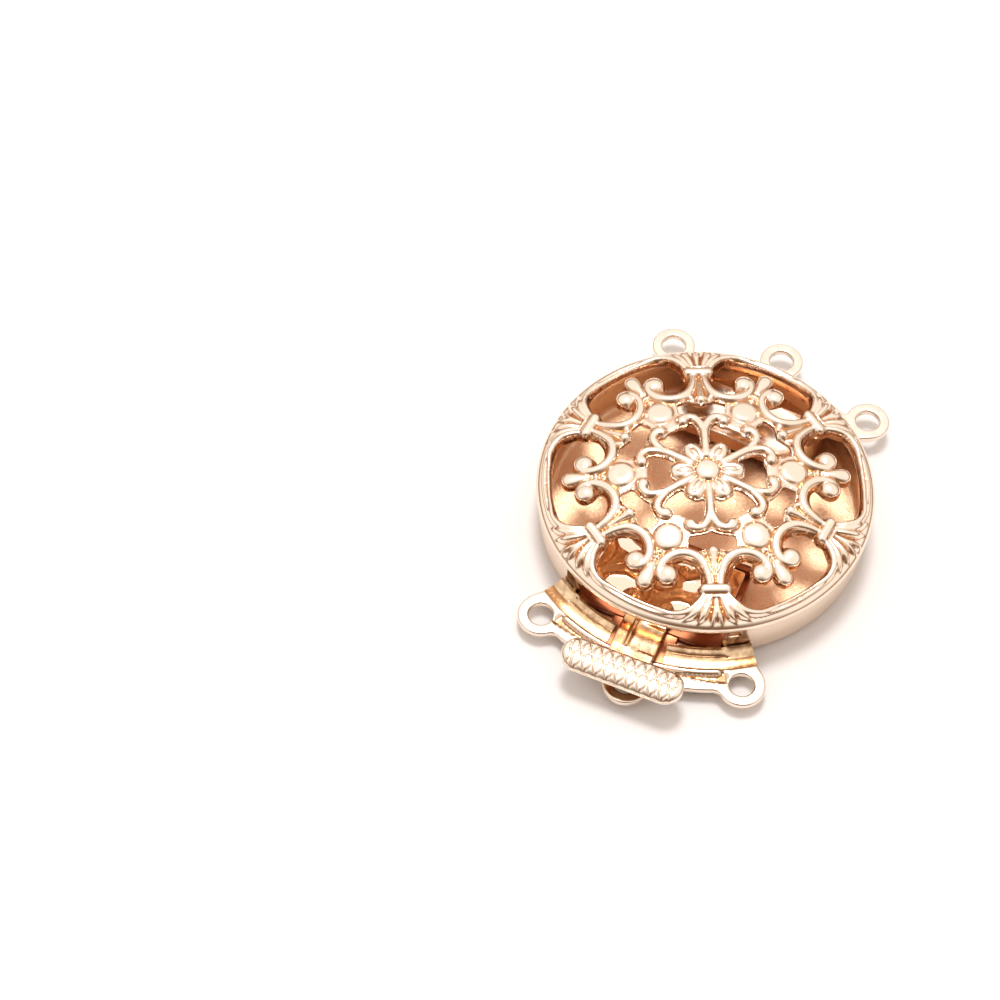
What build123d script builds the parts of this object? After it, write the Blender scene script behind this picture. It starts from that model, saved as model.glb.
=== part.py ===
from build123d import *
from math import cos, radians, sin, sqrt
import os

# A round box clasp for three strands, in millimetres. The base stands on Z = 0 with the
# case's axis on Z. The tongue comes out towards -Y and the fixed loops stand at +Y.

# Case
case_diameter = 26.5
case_wall = 0.5
case_floor = 0.5
case_height = 4.05
case_corner = 1.2
floor_corner = 0.6

# Pierced cover
cover_overhang = 0.25
cover_rise = 2.67
dome_radius = 46.0
cover_sheet = 0.45
rim_width = 1.15
rim_side = 0.45
relief_height = 0.35
repeats = 6
cover_turn = 24.76
skirt_wall = 0.35
skirt_depth = 0.45

# Two catch lugs behind the case's notch, either side of the neck's gate
lug_end_angle = 37.0
lug_bottom = 2.2
notch_width = 14.5
neck_gate_width = 5.5

# Slot in the case for the tongue
slot_width = 12.3
slot_bottom = 1.2
slot_top = 2.95
slot_corner = 0.35

# Fixed loop bar with its inner platform, soldered on a little turned
bar_turn = -3.0
bar_level = 1.3
bar_sheet = 0.6
bar_outer_radius = 15.1
bar_half_angle = 37.0
bar_loop_spread = 32.6
bar_loop_reach = 16.3
bar_loop_radius = 1.8
platform_width = 12.4
platform_front = 6.3
platform_top = 2.9

# Tongue plate, a little turned too, with its lower leaf
plate_turn = 1.2
plate_level = 0.8
plate_sheet = 0.6
plate_inner_radius = 15.0
plate_outer_radius = 16.9
plate_half_angle = 36.0
plate_loop_spread = 30.2
plate_loop_reach = 16.55
plate_middle_reach = 17.5
plate_loop_radius = 1.85
loop_hole_radius = 0.97
cove_rise = 0.7
bead_radius = 15.32
bead_width = 0.4
bead_height = 0.15
bead_half_angle = 24.0
leaf_sheet = 0.45
lower_leaf_width = 12.0
lower_leaf_level = 1.4
fold_front = -4.3
neck_cut_width = 4.8

# Spring leaf and thumb pad
upper_leaf_width = 11.2
upper_leaf_level = 2.35
leaf_root_length = 0.9
neck_width = 3.5
neck_rib_width = 0.5
neck_rib_height = 0.15
pad_length = 10.0
pad_depth = 2.95
pad_height = 1.0
pad_bottom = 2.4
pad_inner_edge = 16.0
pad_rounding = 0.62
pad_under_rounding = 0.3
neck_grip = 1.0
knurl_pitch = 1.05
knurl_depth = 0.14
knurl_angle = 62.0

# Clearances
seat_gap = 0.02
fit_gap = 0.05
root_gap = 0.08
running_gap = 0.1

case_radius = case_diameter / 2
cover_radius = case_radius + cover_overhang
field_radius = cover_radius - rim_width
cover_base = case_height + seat_gap
cover_crown = cover_base + cover_rise
inner_radius = case_radius - case_wall
skirt_outer = inner_radius - running_gap
skirt_inner = skirt_outer - skirt_wall
share = field_radius / 100
boss_share = 7.7


def dome_top(radius):
    """Height of the cover's sheet at a radius."""
    return cover_crown - dome_radius + sqrt(dome_radius**2 - radius**2)


def polar(radius, angle):
    return (radius * cos(radians(angle)), radius * sin(radians(angle)))


def upright_plane(angle):
    """Upright plane through the case's axis, turned to an angle."""
    turn = radians(angle)
    return Plane((0, 0, 0), x_dir=(cos(turn), sin(turn), 0), z_dir=(sin(turn), -cos(turn), 0))


def ring_sector(inner, outer, start, end):
    """Flat ring sector about the case's axis, from one angle to another."""
    with BuildLine() as outline:
        CenterArc((0, 0), outer, start, end - start)
        CenterArc((0, 0), inner, start, end - start)
        Line(polar(inner, start), polar(outer, start))
        Line(polar(inner, end), polar(outer, end))
    make_face(outline.edges())


def ribbon(rows):
    """Strand of the pattern. Each row is across, out, half width, in shares of the field."""
    points = [Vector(across * share, out * share) for across, out, _ in rows]
    halves = [half * share for _, _, half in rows]
    left, right = [], []
    for place, half in enumerate(halves):
        before = points[max(place - 1, 0)]
        after = points[min(place + 1, len(points) - 1)]
        along = (after - before).normalized()
        side = Vector(-along.Y, along.X) * half
        left.append(points[place] + side)
        right.append(points[place] - side)
    with BuildLine() as outline:
        Spline(*left)
        Line(left[-1], right[-1])
        Spline(*right)
        Line(right[0], left[0])
    make_face(outline.edges())


def dot(across, out, radius):
    with Locations((across * share, out * share)):
        Circle(radius * share)


def mirrored_outline(runs):
    """Closed outline from the runs of its right half, mirrored about its own axis."""
    with BuildLine() as outline:
        for run in runs:
            Spline(*[(across * share, out * share) for across, out in run])
        mirror(about=Plane.YZ)
    make_face(outline.edges())


def dome_section(inset):
    """Half section of the cover's outer form, moved in by the inset."""
    shoulder = (field_radius, dome_top(field_radius) - inset)
    edge = (cover_radius - inset, cover_base + rim_side)
    half_way = field_radius / 2
    with BuildLine() as outline:
        Line((0, cover_base), (0, cover_crown - inset))
        ThreePointArc((0, cover_crown - inset), (half_way, dome_top(half_way) - inset), shoulder)
        Spline(shoulder, edge, tangents=[(1, -field_radius / dome_radius), (0, -1)])
        Line(edge, (cover_radius - inset, cover_base))
        Line((cover_radius - inset, cover_base), (0, cover_base))
    make_face(outline.edges())


# Cover pattern: openings, in shares of the field, each with its own axis up

field_edge = [(0, 100), (9.5, 99.55), (17.6, 98.4)]
large_runs = [
    field_edge,
    [(17.6, 98.4), (24.8, 96.5), (31.0, 92.6), (33.6, 85.8)],
    [(33.6, 85.8), (34.3, 81.7), (32.1, 78.5)],
    [(32.1, 78.5), (32.0, 74.1), (30.1, 69.6), (26.0, 66.8), (20.4, 65.3), (14.9, 66.4), (11.6, 69.5)],
    [(11.6, 69.5), (18.1, 75.6), (16.0, 83.5)],
    [(16.0, 83.5), (10.6, 84.8), (5.9, 83.1)],
    [(5.9, 83.1), (4.9, 87.0), (3.8, 90.8), (0, 92.8)],
]
bud_runs = [
    [(0, 54.9), (4.0, 56.7), (8.1, 58.3), (12.1, 57.5), (15.8, 55.9)],
    [(15.8, 55.9), (15.0, 48.6), (13.8, 47.4)],
    [(13.8, 47.4), (7.3, 46.6), (3.2, 45.7), (0, 44.1)],
]
strut_runs = [
    [(0, 23.9), (4.5, 23.1), (6.7, 20.5)],
    [(6.7, 20.5), (8.3, 20.9), (10.7, 24.7), (13.1, 30.8), (13.4, 35.3), (12.3, 38.3)],
    [(12.3, 38.3), (7.4, 37.1), (4.5, 38.5), (0, 38.4)],
]

with BuildSketch() as large_opening:
    mirrored_outline(large_runs)
with BuildSketch() as bud_opening:
    mirrored_outline(bud_runs)
with BuildSketch() as strut_opening:
    mirrored_outline(strut_runs)

# Cover pattern: raised strands of half a sector, then mirrored

scroll_rows = [
    (3.4, 80.2, 1.6), (3.9, 72.9, 1.9), (6.9, 66.4, 2.3), (12.6, 61.7, 2.4), (19.4, 59.8, 2.4),
    (25.9, 60.7, 2.4), (31.2, 64.4, 2.4), (33.8, 69.6, 2.4), (32.8, 74.9, 2.4),
]
horn_rows = [(1.0, 35.6, 1.6), (3.2, 40.1, 1.9), (6.9, 42.9, 2.2), (10.9, 42.8, 2.4)]
strut_rows = [(0, 8.1, 1.8), (0, 22.7, 1.4), (0, 37.4, 2.4)]
bud_rows = [(0, 58.9, 3.4), (0, 64.0, 2.4), (0, 72.0, 0.8)]
leaf_rows = [(0, 89.0, 1.0), (0, 98.8, 2.8), (0, 105.3, 0.8)]
flute_rows = [
    [(2.8, 86.4, 1.0), (5.3, 95.5, 1.6), (10.1, 104.0, 1.0)],
    [(5.8, 86.4, 1.0), (9.7, 94.7, 1.5), (17.8, 102.0, 1.2)],
    [(8.5, 86.4, 1.4), (12.1, 93.1, 1.8), (18.6, 98.4, 1.9), (27.5, 100.4, 1.6)],
]
fleur_rows = [(0, 87.9, 3.9), (0, 81.0, 2.4), (0, 74.5, 1.2)]

with BuildSketch() as half_sector:
    ribbon(scroll_rows)
    dot(27.9, 74.5, 4.9)
    ribbon(horn_rows)
    dot(13.4, 40.3, 3.4)
    for rows in flute_rows:
        ribbon(rows)

with BuildSketch() as sector:
    add(half_sector.sketch)
    mirror(about=Plane.YZ)
    ribbon(strut_rows)
    ribbon(bud_rows)
    dot(0, 58.9, 3.4)
    ribbon(leaf_rows)
    with Locations((0, 84.0 * share)):
        SlotOverall(20.2 * share, 7.7 * share)

with BuildSketch() as between:
    dot(0, 55.1, 8.1)
    ribbon(fleur_rows)
    dot(0, 87.9, 3.9)
    with Locations((0, 15.8 * share)):
        Ellipse(4.5 * share, 6.9 * share)

with BuildSketch() as petal_groove:
    with Locations((0, 15.8 * share)):
        Ellipse(1.3 * share, 3.6 * share)

half_step = 180 / repeats
skirt_bottom = case_height - skirt_depth
skirt_top = dome_top(skirt_outer) - cover_sheet / 2
plate_top = plate_level + plate_sheet
cove_inner_radius = case_radius + running_gap


def skirt_ring(bottom, top):
    """Half section of the ring that stands inside the case's wall."""
    with BuildLine() as outline:
        Polyline(
            (skirt_inner, bottom), (skirt_outer, bottom), (skirt_outer, top), (skirt_inner, top),
            close=True,
        )
    make_face(outline.edges())


def fold_section(front, tail_end, lap_end, level, top, sheet):
    """Side view of a strip that lies at a level and folds back over itself at the front."""
    way = 1 if tail_end > front else -1
    with BuildLine() as outline:
        Polyline(
            (tail_end, level), (front, level), (front, top), (lap_end, top),
            (lap_end, top - sheet), (front + way * sheet, top - sheet),
            (front + way * sheet, level + sheet), (tail_end, level + sheet), close=True,
        )
    make_face(outline.edges())


# Case: a cup with the tongue's notch and slot, and a slit for the loop bar

with BuildPart() as case_cup:
    with BuildSketch(Plane.XZ) as cup_section:
        with BuildLine():
            Polyline(
                (0, 0), (case_radius, 0), (case_radius, case_height), (inner_radius, case_height),
                (inner_radius, case_floor), (0, case_floor), close=True,
            )
        make_face()
        fillet(cup_section.vertices().filter_by_position(Axis.X, case_radius, case_radius)
               .sort_by(Axis.Y)[0], case_corner)
        fillet(cup_section.vertices().filter_by_position(Axis.X, inner_radius, inner_radius)
               .sort_by(Axis.Y)[0], floor_corner)
    revolve(axis=Axis.Z)
    with BuildSketch(Plane.XZ):
        with Locations((0, slot_bottom)):
            RectangleRounded(slot_width, 2 * (lug_bottom - slot_bottom), slot_corner,
                             align=(Align.CENTER, Align.MIN))
        with Locations((0, lug_bottom)):
            Rectangle(notch_width, case_height, align=(Align.CENTER, Align.MIN))
    extrude(amount=case_diameter, mode=Mode.SUBTRACT)
    with BuildSketch(upright_plane(bar_turn)):
        with Locations((0, bar_level - fit_gap)):
            Rectangle(platform_width + 2 * fit_gap, bar_sheet + 2 * fit_gap,
                      align=(Align.CENTER, Align.MIN))
    extrude(amount=-case_diameter, mode=Mode.SUBTRACT)

# Loop bar: three fixed loops, and a tail that enters the case and folds up to a platform

bar_middle = 90 + bar_turn
bar_loops = [polar(bar_loop_reach, bar_middle + way * bar_loop_spread) for way in (-1, 0, 1)]
platform_back = sqrt((inner_radius - running_gap) ** 2 - (platform_width / 2) ** 2)
tail_end = sqrt(bar_outer_radius**2 - (platform_width / 2) ** 2)

with BuildPart() as loop_bar:
    with BuildSketch(upright_plane(bar_middle)):
        fold_section(platform_front, tail_end, platform_back, bar_level, platform_top, bar_sheet)
    extrude(amount=platform_width / 2, both=True)
    with BuildSketch(Plane.XY.offset(bar_level)):
        ring_sector(case_radius + seat_gap, bar_outer_radius,
                    bar_middle - bar_half_angle, bar_middle + bar_half_angle)
        with Locations(*bar_loops):
            Circle(bar_loop_radius)
    extrude(amount=bar_sheet)
    with BuildSketch(Plane.XY.offset(bar_level)):
        with Locations(*bar_loops):
            Circle(loop_hole_radius)
    extrude(amount=bar_sheet, mode=Mode.SUBTRACT)

# Tongue plate: an arc plate with three loops, a cove and bead, and the lower leaf with its fold

plate_middle = -90 + plate_turn
near_loops = [
    polar(plate_loop_reach, plate_middle - plate_loop_spread),
    polar(plate_middle_reach, plate_middle),
    polar(plate_loop_reach, plate_middle + plate_loop_spread),
]
cove_middle_radius = cove_inner_radius + plate_sheet / 2

with BuildPart() as tongue_plate:
    with BuildSketch(Plane.XY.offset(plate_level)):
        ring_sector(plate_inner_radius, plate_outer_radius,
                    plate_middle - plate_loop_spread, plate_middle + plate_loop_spread)
        ring_sector(plate_inner_radius, plate_loop_reach - plate_sheet,
                    plate_middle - plate_half_angle, plate_middle + plate_half_angle)
        with Locations(*near_loops):
            Circle(plate_loop_radius)
    extrude(amount=plate_sheet)
    with BuildSketch(Plane.XY.offset(plate_level)):
        with Locations(*near_loops):
            Circle(loop_hole_radius)
    extrude(amount=plate_sheet, mode=Mode.SUBTRACT)
    with BuildSketch(Plane.XY.offset(plate_top)):
        with BuildLine(mode=Mode.PRIVATE) as bead_line:
            CenterArc((0, 0), bead_radius, plate_middle - bead_half_angle, 2 * bead_half_angle)
        SlotArc(bead_line.edges()[0], bead_width)
    extrude(amount=bead_height)
    with BuildSketch(upright_plane(plate_middle - plate_half_angle)):
        with BuildLine():
            Polyline(
                (plate_inner_radius + fit_gap, plate_level),
                (plate_inner_radius + fit_gap, plate_top),
                (cove_middle_radius, plate_top + cove_rise),
                (cove_inner_radius, plate_top + cove_rise),
                (cove_inner_radius, plate_level + cove_rise),
                close=True,
            )
        make_face()
    revolve(axis=Axis.Z, revolution_arc=2 * plate_half_angle)
    with BuildSketch(Plane.XY.offset(plate_level)):
        with Locations((0, -cove_inner_radius)):
            Rectangle(neck_cut_width, 2 * (plate_inner_radius - cove_inner_radius))
    extrude(amount=plate_sheet + cove_rise, mode=Mode.SUBTRACT)
    with BuildSketch(Plane.YZ):
        fold_section(fold_front, fold_front - leaf_root_length, fold_front - leaf_root_length,
                     lower_leaf_level, upper_leaf_level + leaf_sheet, leaf_sheet)
    extrude(amount=lower_leaf_width / 2, both=True)
    with BuildSketch(Plane.XY.offset(lower_leaf_level)):
        with Locations((0, fold_front - leaf_sheet)):
            Rectangle(lower_leaf_width, case_diameter, align=(Align.CENTER, Align.MAX))
        Circle(cove_middle_radius, mode=Mode.INTERSECT)
    extrude(amount=leaf_sheet)

# Spring leaf: the upper leaf with rounded shoulders and its neck

leaf_root = fold_front - leaf_root_length - root_gap
neck_end = pad_inner_edge + neck_grip

with BuildPart() as spring_leaf:
    with BuildSketch(Plane.XY.offset(upper_leaf_level)):
        with Locations((0, leaf_root)):
            Rectangle(upper_leaf_width, case_radius, align=(Align.CENTER, Align.MAX))
        Circle(skirt_inner - 2 * running_gap, mode=Mode.INTERSECT)
        with Locations((0, leaf_root)):
            Rectangle(neck_width, neck_end + leaf_root, align=(Align.CENTER, Align.MAX))
    extrude(amount=leaf_sheet)
    with BuildSketch(Plane.XY.offset(upper_leaf_level + leaf_sheet)):
        with Locations((0, -case_radius)):
            Rectangle(neck_rib_width, 2 * (pad_inner_edge - case_radius - running_gap))
    extrude(amount=neck_rib_height)

# Thumb pad: a rounded bar with a diamond knurl, gripped on the neck's end

pad_middle = pad_inner_edge + pad_depth / 2
knurl_count = int(pad_length / knurl_pitch)

with BuildPart() as thumb_pad:
    with BuildSketch(Plane.XY.offset(pad_bottom)):
        with Locations((0, -pad_middle)):
            SlotOverall(pad_length, pad_depth)
    extrude(amount=pad_height)
    fillet(thumb_pad.edges().group_by(Axis.Z)[-1], pad_rounding)
    fillet(thumb_pad.edges().group_by(Axis.Z)[0], pad_under_rounding)
    with BuildSketch(Plane.XY.offset(upper_leaf_level - fit_gap)):
        with Locations((0, -neck_end - fit_gap)):
            Rectangle(neck_width + 2 * fit_gap, pad_depth, align=(Align.CENTER, Align.MIN))
    extrude(amount=leaf_sheet + 2 * fit_gap, mode=Mode.SUBTRACT)
    with Locations((0, -pad_middle, pad_bottom + pad_height)):
        with GridLocations(knurl_pitch, 0, knurl_count - 2, 1):
            for turn in (knurl_angle, -knurl_angle):
                Box(2 * pad_depth, knurl_depth, 2 * knurl_depth, rotation=(0, 0, turn),
                    mode=Mode.SUBTRACT)

# Cover: a domed sheet, pierced, with raised strands, a rim and a skirt with a gate for the neck

with BuildPart() as filigree_cover:
    with BuildSketch(Plane.XZ):
        dome_section(-relief_height)
    revolve(axis=Axis.Z)
    with BuildSketch():
        with PolarLocations(0, repeats, start_angle=cover_turn):
            add(sector.sketch)
        with PolarLocations(0, repeats, start_angle=cover_turn + half_step):
            add(between.sketch)
        Circle(boss_share * share)
    extrude(amount=cover_crown + relief_height, mode=Mode.INTERSECT)
    with BuildSketch():
        with PolarLocations(0, repeats, start_angle=cover_turn + half_step):
            add(petal_groove.sketch)
    extrude(amount=cover_crown + 2 * relief_height, mode=Mode.SUBTRACT)
    with BuildSketch(Plane.XZ):
        dome_section(0)
    revolve(axis=Axis.Z)
    with BuildSketch(Plane.XZ):
        dome_section(cover_sheet)
    revolve(axis=Axis.Z, mode=Mode.SUBTRACT)
    with BuildSketch(Plane.XZ):
        skirt_ring(skirt_bottom, skirt_top)
    revolve(axis=Axis.Z)
    with BuildSketch(Plane.XZ):
        with Locations((0, skirt_bottom)):
            Rectangle(neck_gate_width, case_height - skirt_bottom, align=(Align.CENTER, Align.MIN))
    extrude(amount=case_diameter, mode=Mode.SUBTRACT)
    with BuildSketch():
        with PolarLocations(0, repeats, start_angle=cover_turn + half_step):
            add(large_opening.sketch)
            add(strut_opening.sketch)
        with PolarLocations(0, repeats, start_angle=cover_turn):
            add(bud_opening.sketch)
    extrude(amount=cover_crown + 2 * relief_height, mode=Mode.SUBTRACT)

# Catch lugs: strips that hang from the skirt behind the notch and frame the slot's top and ends

with BuildPart() as catch_lug_right:
    with BuildSketch(Plane.XY.offset(lug_bottom)):
        ring_sector(skirt_inner, skirt_outer, -90, -90 + lug_end_angle)
    extrude(amount=skirt_bottom - seat_gap - lug_bottom)
    with BuildSketch(Plane.XZ):
        with Locations((0, slot_top)):
            RectangleRounded(slot_width, 2 * (slot_top - lug_bottom), slot_corner,
                             align=(Align.CENTER, Align.MAX))
        Rectangle(neck_gate_width, 2 * case_height)
    extrude(amount=case_diameter, mode=Mode.SUBTRACT)

with BuildPart() as catch_lug_left:
    add(catch_lug_right.part)
    mirror(about=Plane.YZ, mode=Mode.REPLACE)

# Each piece goes to its own file

pieces = {
    "case_cup": case_cup,
    "filigree_cover": filigree_cover,
    "catch_lug_left": catch_lug_left,
    "catch_lug_right": catch_lug_right,
    "loop_bar": loop_bar,
    "tongue_plate": tongue_plate,
    "spring_leaf": spring_leaf,
    "thumb_pad": thumb_pad,
}
os.makedirs("parts", exist_ok=True)
for name, piece in pieces.items():
    piece.part.label = name
    export_step(piece.part, f"parts/{name}.step")
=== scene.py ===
"""Looks of the round three-strand box clasp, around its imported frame."""
import math

import bmesh
import bpy
import numpy as np
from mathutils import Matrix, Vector, geometry


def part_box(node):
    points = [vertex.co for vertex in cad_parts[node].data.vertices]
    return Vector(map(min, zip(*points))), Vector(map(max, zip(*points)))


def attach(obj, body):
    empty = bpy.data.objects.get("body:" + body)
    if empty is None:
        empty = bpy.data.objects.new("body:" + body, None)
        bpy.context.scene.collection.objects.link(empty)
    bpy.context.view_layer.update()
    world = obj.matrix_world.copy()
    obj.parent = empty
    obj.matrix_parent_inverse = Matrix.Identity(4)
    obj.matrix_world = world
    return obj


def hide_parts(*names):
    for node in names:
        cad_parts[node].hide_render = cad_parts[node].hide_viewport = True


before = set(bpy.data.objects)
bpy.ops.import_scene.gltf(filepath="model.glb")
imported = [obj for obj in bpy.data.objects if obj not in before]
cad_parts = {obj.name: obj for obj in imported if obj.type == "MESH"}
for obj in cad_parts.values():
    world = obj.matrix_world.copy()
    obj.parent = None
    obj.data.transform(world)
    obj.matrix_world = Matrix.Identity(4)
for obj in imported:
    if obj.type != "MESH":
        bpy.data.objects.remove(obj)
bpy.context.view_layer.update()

MM = 0.001


def node_box(node):
    """Low and high corners of a CAD node, in millimetres."""
    low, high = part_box(node)
    return np.array(low) / MM, np.array(high) / MM


# Sizes in millimetres: the main ones come from the frame

cover_low, cover_high = node_box("filigree_cover")
_, case_high = node_box("case_cup")
bar_low, bar_high = node_box("loop_bar")
plate_low, plate_high = node_box("tongue_plate")
leaf_low, leaf_high = node_box("spring_leaf")
pad_low, pad_high = node_box("thumb_pad")
lug_low, lug_high = node_box("catch_lug_right")

case_wall = 0.5
case_floor = 0.5
case_corner = 1.2
floor_corner = 0.6
case_radius = case_high[0]
case_top = case_high[2]
inner_radius = case_radius - case_wall

relief = 0.35
rim_width = 1.15
rim_bend = 0.6
dome_radius = 46.0
cover_sheet = 0.45
cover_radius = cover_high[0]
cover_crown = cover_high[2] - relief
cover_base = case_top + 0.02
field = cover_radius - rim_width
share = field / 100
cover_turn = 24.76
repeats = 6
skirt_outer = inner_radius - 0.1
skirt_inner = skirt_outer - 0.35
skirt_bottom = cover_low[2]

notch_width = 14.5
gate_width = 5.5
slot_width = 12.3
slot_bottom = 1.2
slot_top = 2.95
lug_bottom = lug_low[2]
lug_end_angle = 37.0

slit_top = 1.95
slit_gap = 0.05
lip_radius = case_radius + 0.03
lip_roll = 0.17
lip_inset_angle = 1.5
lip_curl = [(0.16, 0.07, 0.03), (0.3, 0.15, 0.16), (0.38, 0.2, 0.4), (0.42, 0.22, 0.9), (0.36, 0.18, 1.3)]
lug_curl = [(0, 0), (0.12, 0.3), (0.2, 0.62)]
lug_curl_radius = 0.13
lug_top = lug_high[2]

bar_turn = -3.0
bar_sheet = 0.6
bar_bottom = bar_low[2]
bar_outer_radius = 15.1
bar_half_angle = 37.0
bar_loop_spread = 32.6
bar_loop_reach = 16.3
bar_loop_radius = 1.8
platform_width = 12.4
platform_front = 6.3
platform_top = bar_high[2]
fold_level = platform_top - 0.3
strip_sink = 0.04
strip_lap = 0.4
strip_inner_turn = 0.1
strip_outer_turn = 0.18

sheet_step = 0.13
sheet_rounding = 0.17
loop_fillet = 0.5
loop_hole_radius = 0.97

plate_turn = 1.2
plate_sheet = 0.6
plate_bottom = plate_low[2]
plate_inner_radius = 15.0
plate_outer_radius = 16.9
plate_half_angle = 36.0
plate_loop_spread = 30.2
plate_loop_reach = 16.55
plate_middle_reach = 17.5
plate_loop_radius = 1.85
loop_shade_width = 0.22
cove_rise = 0.7
cove_band_rise = 0.14
cove_shoulder_drop = 0.22
cove_reach = 1.68
cove_back = 13.4
crease_radius = 14.1
bead_radius = 15.38
bead_half = 0.3
bead_height = 0.34
bead_half_angle = 24.0
hollow_start, hollow_growth, hollow_end = 11.0, 14.0, 27.5
hollow_width = 0.62
hollow_depth = 0.16
end_angle = 26.5
neck_cut_width = 4.8
leaf_sheet = 0.45
lower_leaf_width = 12.0
lower_leaf_bottom = 1.4
lower_leaf_end = -12.35
fold_front = plate_high[1]
fold_lap = 0.9
leaf_root = -5.28
leaf_reach = 11.8
leaf_step = 0.11
leaf_rounding = 0.12
neck_start = -12.2
neck_face_start, neck_face_end = 12.7, 15.4
neck_rib_place, neck_rib_half, neck_rib_height = -0.62, 0.16, 0.2
neck_slope_start, neck_slope_width, neck_slope_drop = -0.3, 1.6, 0.12
# Where the neck's panel of painted mottled reflections ends
neck_mottle_end = 1.45

upper_leaf_width = leaf_high[0] - leaf_low[0]
upper_leaf_bottom = leaf_low[2]
neck_width = 3.5
pad_crown = 0.3
knurl_pitch = 0.9
knurl_row = 0.95
knurl_shift = 0.35
knurl_line = 0.055
knurl_sink = 0.03
lattice_depth, ring_depth, pillow_height = 0.05, 0.03, 0.025
pad_step = 0.045
pad_rounding = 0.42

grid_step = 0.09
under_step = 0.17
crease_rounds = 7
crease_depth = 0.075
# Painted shade on the openings' walls, light at their top edge and deep at their foot
wall_shade_levels = (0.1, 0.75)
edge_rounding = 0.14
calm_start = 12.6
field_slant = 1e-3

# Smooth paths and flat fields


def spline(points, per_span=16):
    """Smooth curve through points, as rows of numbers."""
    rows = np.array(points, float)
    padded = np.vstack([2 * rows[0] - rows[1], rows, 2 * rows[-1] - rows[-2]])
    t = np.linspace(0, 1, per_span, endpoint=False)[:, None]
    out = []
    for first in range(len(rows) - 1):
        a, b, c, d = padded[first : first + 4]
        out.append(0.5 * (2 * b + (c - a) * t + (2 * a - 5 * b + 4 * c - d) * t**2
                          + (3 * b - a - 3 * c + d) * t**3))
    return np.vstack(out + [rows[-1:]])


def even_path(points, step):
    """The same path with points at an even step."""
    lengths = np.r_[0, np.cumsum(np.hypot(*np.diff(points[:, :2], axis=0).T))]
    count = max(2, int(round(lengths[-1] / step)) + 1)
    at = np.linspace(0, lengths[-1], count)
    return np.stack([np.interp(at, lengths, points[:, k]) for k in range(points.shape[1])], 1)


def turned(points, degrees):
    """Points turned about the case's axis."""
    angle = math.radians(degrees)
    across, out = points[..., 0], points[..., 1]
    return np.stack([across * math.cos(angle) - out * math.sin(angle),
                     across * math.sin(angle) + out * math.cos(angle)], -1)


def polar(radius, degrees):
    return np.array([radius * math.cos(math.radians(degrees)), radius * math.sin(math.radians(degrees))])


def hex_grid(low, high, step):
    """Points of a triangular grid that fills a rectangle."""
    rows = []
    for number, level in enumerate(np.arange(low[1], high[1], step * 0.866)):
        across = np.arange(low[0] + (step / 2 if number % 2 else 0), high[0], step)
        rows.append(np.stack([across, np.full(len(across), level)], 1))
    return np.vstack(rows)


def triangles_between(points, edges=()):
    """Flat triangles over points, with some edges kept."""
    spots = [Vector(spot) for spot in points]
    flat, _, faces, *_ = geometry.delaunay_2d_cdt(spots, list(edges), [], 0, 1e-5)
    return np.array([tuple(spot) for spot in flat]), np.array([face for face in faces if len(face) == 3])


def circle_field(points, middle, radius):
    return np.hypot(*(points - middle).T) - radius


def box_field(points, middle, half_width, half_depth, corner=0.0):
    away = np.abs(points - middle) - np.array([half_width, half_depth]) + corner
    return np.hypot(*np.maximum(away, 0).T) + np.minimum(away.max(axis=1), 0) - corner


def sector_field(points, inner, outer, middle, half_angle):
    """Distance to a flat ring sector about the case's axis."""
    radius = np.hypot(*points.T)
    swing = np.abs((np.degrees(np.arctan2(points[:, 1], points[:, 0])) - middle + 180) % 360 - 180)
    beyond = radius * np.sin(np.radians(np.clip(swing - half_angle, -90, 90)))
    return np.maximum.reduce([radius - outer, inner - radius, beyond])


def blend(first, second, fillet):
    """Union of two fields with a fillet between them."""
    mix = np.clip(0.5 + 0.5 * (second - first) / fillet, 0, 1)
    return second * (1 - mix) + first * mix - fillet * mix * (1 - mix)


# Meshes


def mesh_object(name, points, faces, materials, groups=None, crease=None, merge=0.0, painted_shade=None):
    """A mesh piece from points in millimetres. Groups give each face its material's number."""
    mesh = bpy.data.meshes.new(name)
    mesh.from_pydata([tuple(point) for point in np.asarray(points) * MM], [],
                     [tuple(int(corner) for corner in face) for face in faces])
    for material in materials:
        mesh.materials.append(material)
    if groups is not None:
        mesh.polygons.foreach_set("material_index", [int(group) for group in groups])
    # Painted shade: how much of its material's shade colour each point takes
    if painted_shade is not None:
        mesh.attributes.new("painted_shade", "FLOAT", "POINT").data.foreach_set("value", painted_shade)
    if merge:
        shape = bmesh.new()
        shape.from_mesh(mesh)
        bmesh.ops.remove_doubles(shape, verts=shape.verts, dist=merge * MM)
        shape.to_mesh(mesh)
        shape.free()
    mesh.shade_smooth()
    if crease:
        mesh.set_sharp_from_angle(angle=math.radians(crease))
    piece = bpy.data.objects.new(name, mesh)
    bpy.context.collection.objects.link(piece)
    return piece


def joined(parts):
    """One list of points, faces and groups from several."""
    points, faces, groups, first = [], [], [], 0
    for spots, shapes, group in parts:
        points.append(np.asarray(spots, float))
        faces += [tuple(corner + first for corner in shape) for shape in shapes]
        groups += [group] * len(shapes)
        first += len(spots)
    return np.vstack(points), faces, groups


def border_edges(faces):
    """Edges that only one face uses, in that face's direction."""
    used = {}
    for face in faces:
        for first, second in zip(face, np.roll(face, -1)):
            used[(int(first), int(second))] = True
    return [edge for edge in used if (edge[1], edge[0]) not in used]


def facing_up(flat, faces):
    """Turns flat triangles to face up, in place, and gives twice their areas."""
    a, b, c = (flat[faces[:, corner]] for corner in range(3))
    area = (b - a)[:, 0] * (c - a)[:, 1] - (b - a)[:, 1] * (c - a)[:, 0]
    faces[area < 0] = faces[area < 0][:, ::-1]
    return np.abs(area)


def value_and_slope(region, points):
    """A flat field's value and slope at points."""
    value = region(points)
    ahead = [region(points + way) - value for way in ([field_slant, 0], [0, field_slant])]
    return value, np.stack(ahead, 1) / field_slant


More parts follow.
